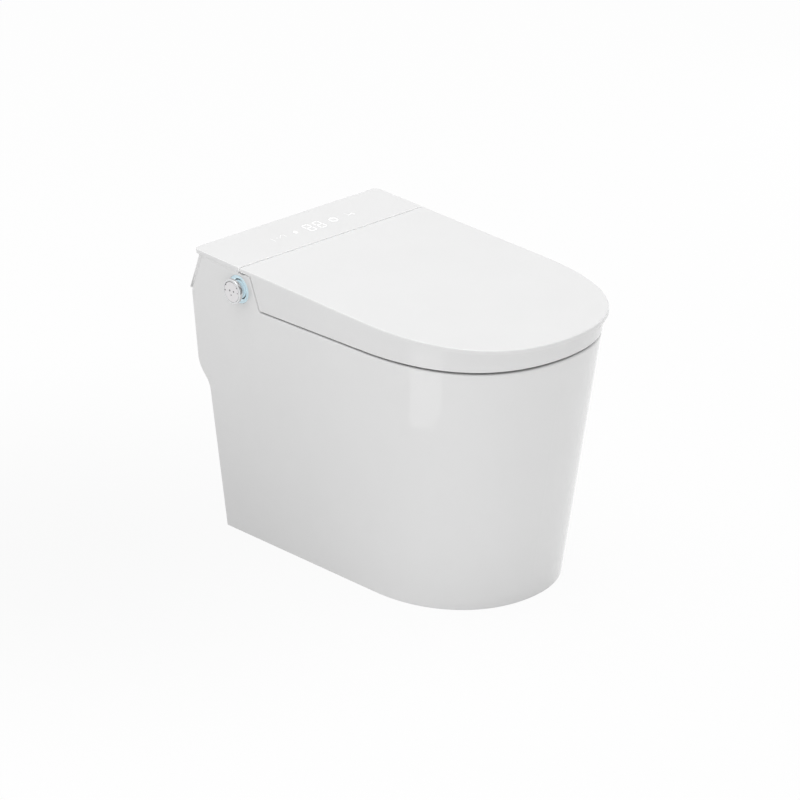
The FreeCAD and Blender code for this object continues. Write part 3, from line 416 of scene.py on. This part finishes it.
tree.links.new(seam_painted_light_tone.outputs["Result"], lid_shader.inputs["Base Color"])
wear("lid_shell", lid_plastic_and_seam_light)
wear("hinge_pins", steel)
wear("lid_bumpers", soft_feet)


# ------------------------------------------------------------------ the rear panel
# A sloping white moulding closes the back of the unit below the cover. A slim trim of
# the same plastic on each hand fills the joint between it and the round rear edge of
# the china.

wear("rear_panel", lid_plastic_and_seam_light)

mm = 0.001
trim_ends = (
    (464.6, ((194.7, 272.3), (194.7, 279.4), (193.2, 279.4),
             (193.2, 275.4), (192.6, 275.3), (192.6, 274.6))),
    (402.4, ((193.25, 298.2), (193.25, 304.4), (193.2, 304.4),
             (193.2, 300.5), (191.7, 300.4), (191.7, 299.8))),
)
trim_corners = len(trim_ends[0][1])
trim = bmesh.new()
for side in (-1, 1):
    upper = bmesh.ops.create_circle(trim, cap_ends=True, segments=trim_corners, radius=1)["verts"]
    grown = bmesh.ops.extrude_face_region(trim, geom=upper[0].link_faces[:])["geom"]
    lower = [part for part in grown if isinstance(part, bmesh.types.BMVert)]
    lower.sort(key=lambda point: min(range(trim_corners),
                                     key=lambda k: (upper[k].co - point.co).length))
    for ring, (level, outline) in zip((upper, lower), trim_ends):
        for point, (x, y) in zip(ring, outline):
            point.co = (side * x * mm, y * mm, level * mm)
bmesh.ops.recalc_face_normals(trim, faces=trim.faces[:])
panel_trim = add_piece("panel_trim", trim, lid_plastic_and_seam_light)
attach(panel_trim, "root")


# ------------------------------------------------------------------ the rear cover
# A flat white cover closes the unit behind the seam. Its display is hidden until it is
# lit, and then the marks glow white through the thin top.

board_green = surface_finish("board_green", tones=((0.02, 0.12, 0.05), (0.03, 0.18, 0.08)),
                             patch=0.006, gloss=(0.3, 0.4))
# The cover's front edge at the seam carries the painted light of this plastic.
wear("rear_cover", lid_plastic_and_seam_light)
wear("cover_seal", white_moulding)
wear("display_board", board_green)


def glowing_ink(name, tones, strength):
    """A display finish that glows white with a given strength."""
    ink = surface_finish(name, tones, patch=0.01, gloss=(0.3, 0.4))
    shader = ink.node_tree.nodes["Principled BSDF"]
    shader.inputs["Emission Color"].default_value = (1, 1, 1, 1)
    shader.inputs["Emission Strength"].default_value = strength
    return ink


lit_marks = glowing_ink("lit_marks", ((0.95, 0.95, 0.95), (1.0, 1.0, 1.0)), 0.35)
faint_marks = glowing_ink("faint_marks", ((0.86, 0.86, 0.86), (0.9, 0.9, 0.9)), 0.1)
marks = bmesh.new()
film = 0.00001
marks_level = cad_box[1][2] + film


def stroke(form, start, end, width, place):
    """A straight stroke between two points of a drawing in millimetres."""
    run = Vector(end) - Vector(start)
    middle = (Vector(start) + Vector(end)) / 2
    turn = Matrix.Rotation(math.atan2(run.y, run.x), 4, "Z")
    scale = Matrix.Diagonal((run.length, width, 1, 1))
    drawn = Matrix.Translation((middle.x, middle.y, 0)) @ turn @ scale
    bmesh.ops.create_grid(form, x_segments=1, y_segments=1, size=0.5, matrix=place @ drawn)


def dot(form, middle, half_width, half_height, place):
    """A round or oval dot."""
    drawn = Matrix.Translation((*middle, 0)) @ Matrix.Diagonal((half_width, half_height, 1, 1))
    bmesh.ops.create_circle(form, cap_ends=True, segments=24, radius=1, matrix=place @ drawn)


on_cover = Matrix.Translation((0, 0, marks_level)) @ Matrix.Scale(mm, 4)
figure_width, figure_height, figure_line, figure_gap = 11.6, 26, 1.35, 1
figures_middle = 234
for figure_x in (-2.5, 19):
    left, right = figure_x - figure_width / 2, figure_x + figure_width / 2
    low, middle, high = (figures_middle + step * figure_height / 2 for step in (-1, 0, 1))
    for level in (low, middle, high):
        stroke(marks, (left + figure_gap, level), (right - figure_gap, level), figure_line, on_cover)
    for side in (left, right):
        for start, end in ((low, middle), (middle, high)):
            stroke(marks, (side, start + figure_gap), (side, end - figure_gap), figure_line, on_cover)
oval_sign = ((-31.6, 234.3), 3.2, 4.8)
round_sign = ((90, 231), 2.2, 3)
small_dot = ((-70, 235), 1.3, 1.3)
dot(marks, *oval_sign, on_cover)
sign_middle, sign_reach, sign_line = (49.2, 234.2), (7, 8), 1.7
corner_turns = [math.radians(60 * k + 30) for k in range(6)]
sign_corners = [(sign_middle[0] + sign_reach[0] * math.cos(turn),
                 sign_middle[1] + sign_reach[1] * math.sin(turn)) for turn in corner_turns]
for k in range(6):
    stroke(marks, sign_corners[k - 1], sign_corners[k], sign_line, on_cover)
dot(marks, *round_sign, on_cover)
bright_faces = len(marks.faces)
small_line = 1.0
small_signs = (
    ((-80, 226), (-80, 240)),
    ((-66.5, 231.5), (-58, 240.5), (-53.5, 238.5), (-54.5, 229.5)),
    ((79.7, 243.6), (80.2, 232.5), (90.9, 235.7)),
)
for sign in small_signs:
    for k in range(1, len(sign)):
        stroke(marks, sign[k - 1], sign[k], small_line, on_cover)
dot(marks, *small_dot, on_cover)
marks.faces.ensure_lookup_table()
for face in marks.faces[bright_faces:]:
    face.material_index = 1
display_marks = add_piece("display_marks", marks, lit_marks, faint_marks)
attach(display_marks, "root")


# ------------------------------------------------------------------ the side knob
# A chromed dial turns and its satin metal face presses in, at the left cheek. Behind
# them a lit ring is set in the china and glows pale blue.

satin_face = surface_finish("satin_face", tones=((0.71, 0.70, 0.71), (0.79, 0.78, 0.79)),
                            patch=0.003, gloss=(0.25, 0.4), grain=0.0015, depth=0.00002,
                            metallic=0.9)
bright_chrome = surface_finish("bright_chrome", tones=((0.70, 0.71, 0.72), (0.76, 0.77, 0.78)),
                               patch=0.01, gloss=(0.06, 0.12), metallic=1.0)
pale_blue = surface_finish("pale_blue_light", tones=((0.64, 0.80, 0.87), (0.66, 0.82, 0.89)),
                           patch=0.02, gloss=(0.2, 0.3))
knob_axis = (183.4, 434.5)
bore_radius, face_radius = 0.0181, 0.0186
bore_glow, face_glow = 0.7, 0.19
ring_shader = pale_blue.node_tree.nodes["Principled BSDF"]
ring_shader.inputs["Emission Color"].default_value = (0.64, 0.8, 0.86, 1)
tree = pale_blue.node_tree
place = tree.nodes.new("ShaderNodeTexCoord")
from_axis = tree.nodes.new("ShaderNodeVectorMath")
from_axis.operation = "MULTIPLY_ADD"
from_axis.inputs[1].default_value = (0, 1, 1)
from_axis.inputs[2].default_value = (0, -knob_axis[0] * mm, -knob_axis[1] * mm)
radius = tree.nodes.new("ShaderNodeVectorMath")
radius.operation = "LENGTH"
glow = tree.nodes.new("ShaderNodeMapRange")
glow.inputs["From Min"].default_value = bore_radius
glow.inputs["From Max"].default_value = face_radius
glow.inputs["To Min"].default_value = bore_glow
glow.inputs["To Max"].default_value = face_glow
tree.links.new(place.outputs["Object"], from_axis.inputs[0])
tree.links.new(from_axis.outputs["Vector"], radius.inputs[0])
tree.links.new(radius.outputs["Value"], glow.inputs["Value"])
tree.links.new(glow.outputs["Result"], ring_shader.inputs["Emission Strength"])
wear("knob_ring", pale_blue)
wear("knob_dial", bright_chrome)
wear("knob_button", satin_face)

mark_ink = surface_finish("mark_ink", tones=((0.10, 0.10, 0.11), (0.16, 0.16, 0.17)), patch=0.002,
                          gloss=(0.4, 0.5))
knob_marks_x = cad_box[0][0] - film
stood_up = Matrix(((0, 0, 1, 0), (1, 0, 0, 0), (0, 1, 0, 0), (0, 0, 0, 1)))
on_knob = Matrix.Translation((knob_marks_x, 0, 0)) @ Matrix.Scale(mm, 4) @ stood_up
arc_radius, arc_start, arc_thins, arc_end = 16.4, 28, 112, 142
arc_step, arc_overlap, heavy_line, light_line = 6, 0.4, 0.9, 0.5
engraving = bmesh.new()


def round_knob(angle, radius):
    """The point at an angle and a radius about the knob's axis, in millimetres."""
    turn = math.radians(angle)
    return (knob_axis[0] + radius * math.cos(turn), knob_axis[1] + radius * math.sin(turn))


for angle in range(arc_start, arc_end, arc_step):
    line = heavy_line if angle < arc_thins else light_line
    start, end = (round_knob(turned, arc_radius) for turned in (angle, angle + arc_step + arc_overlap))
    stroke(engraving, start, end, line, on_knob)
start_angle, start_radius, start_size = 30, 15.8, 1.2
dot(engraving, round_knob(start_angle, start_radius), start_size, start_size, on_knob)
edge_ticks = ((144, 16, 1.6), (176, 15, 1.2), (-5, 15.5, 2.2))
tick_inward, tick_outward = 1.4, 1.2
for angle, radius, line in edge_ticks:
    start, end = round_knob(angle, radius - tick_inward), round_knob(angle, radius + tick_outward)
    stroke(engraving, start, end, line, on_knob)
face_dots = (((187.4, 435.4), 1.6), ((178.2, 435.8), 1.5), ((184.1, 428.4), 1.2))
for middle, size in face_dots:
    dot(engraving, middle, size, size, on_knob)
knob_marks = add_piece("knob_marks", engraving, mark_ink)
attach(knob_marks, "button")
wear("knob_encoder", grey_housing)


bpy.context.view_layer.update()
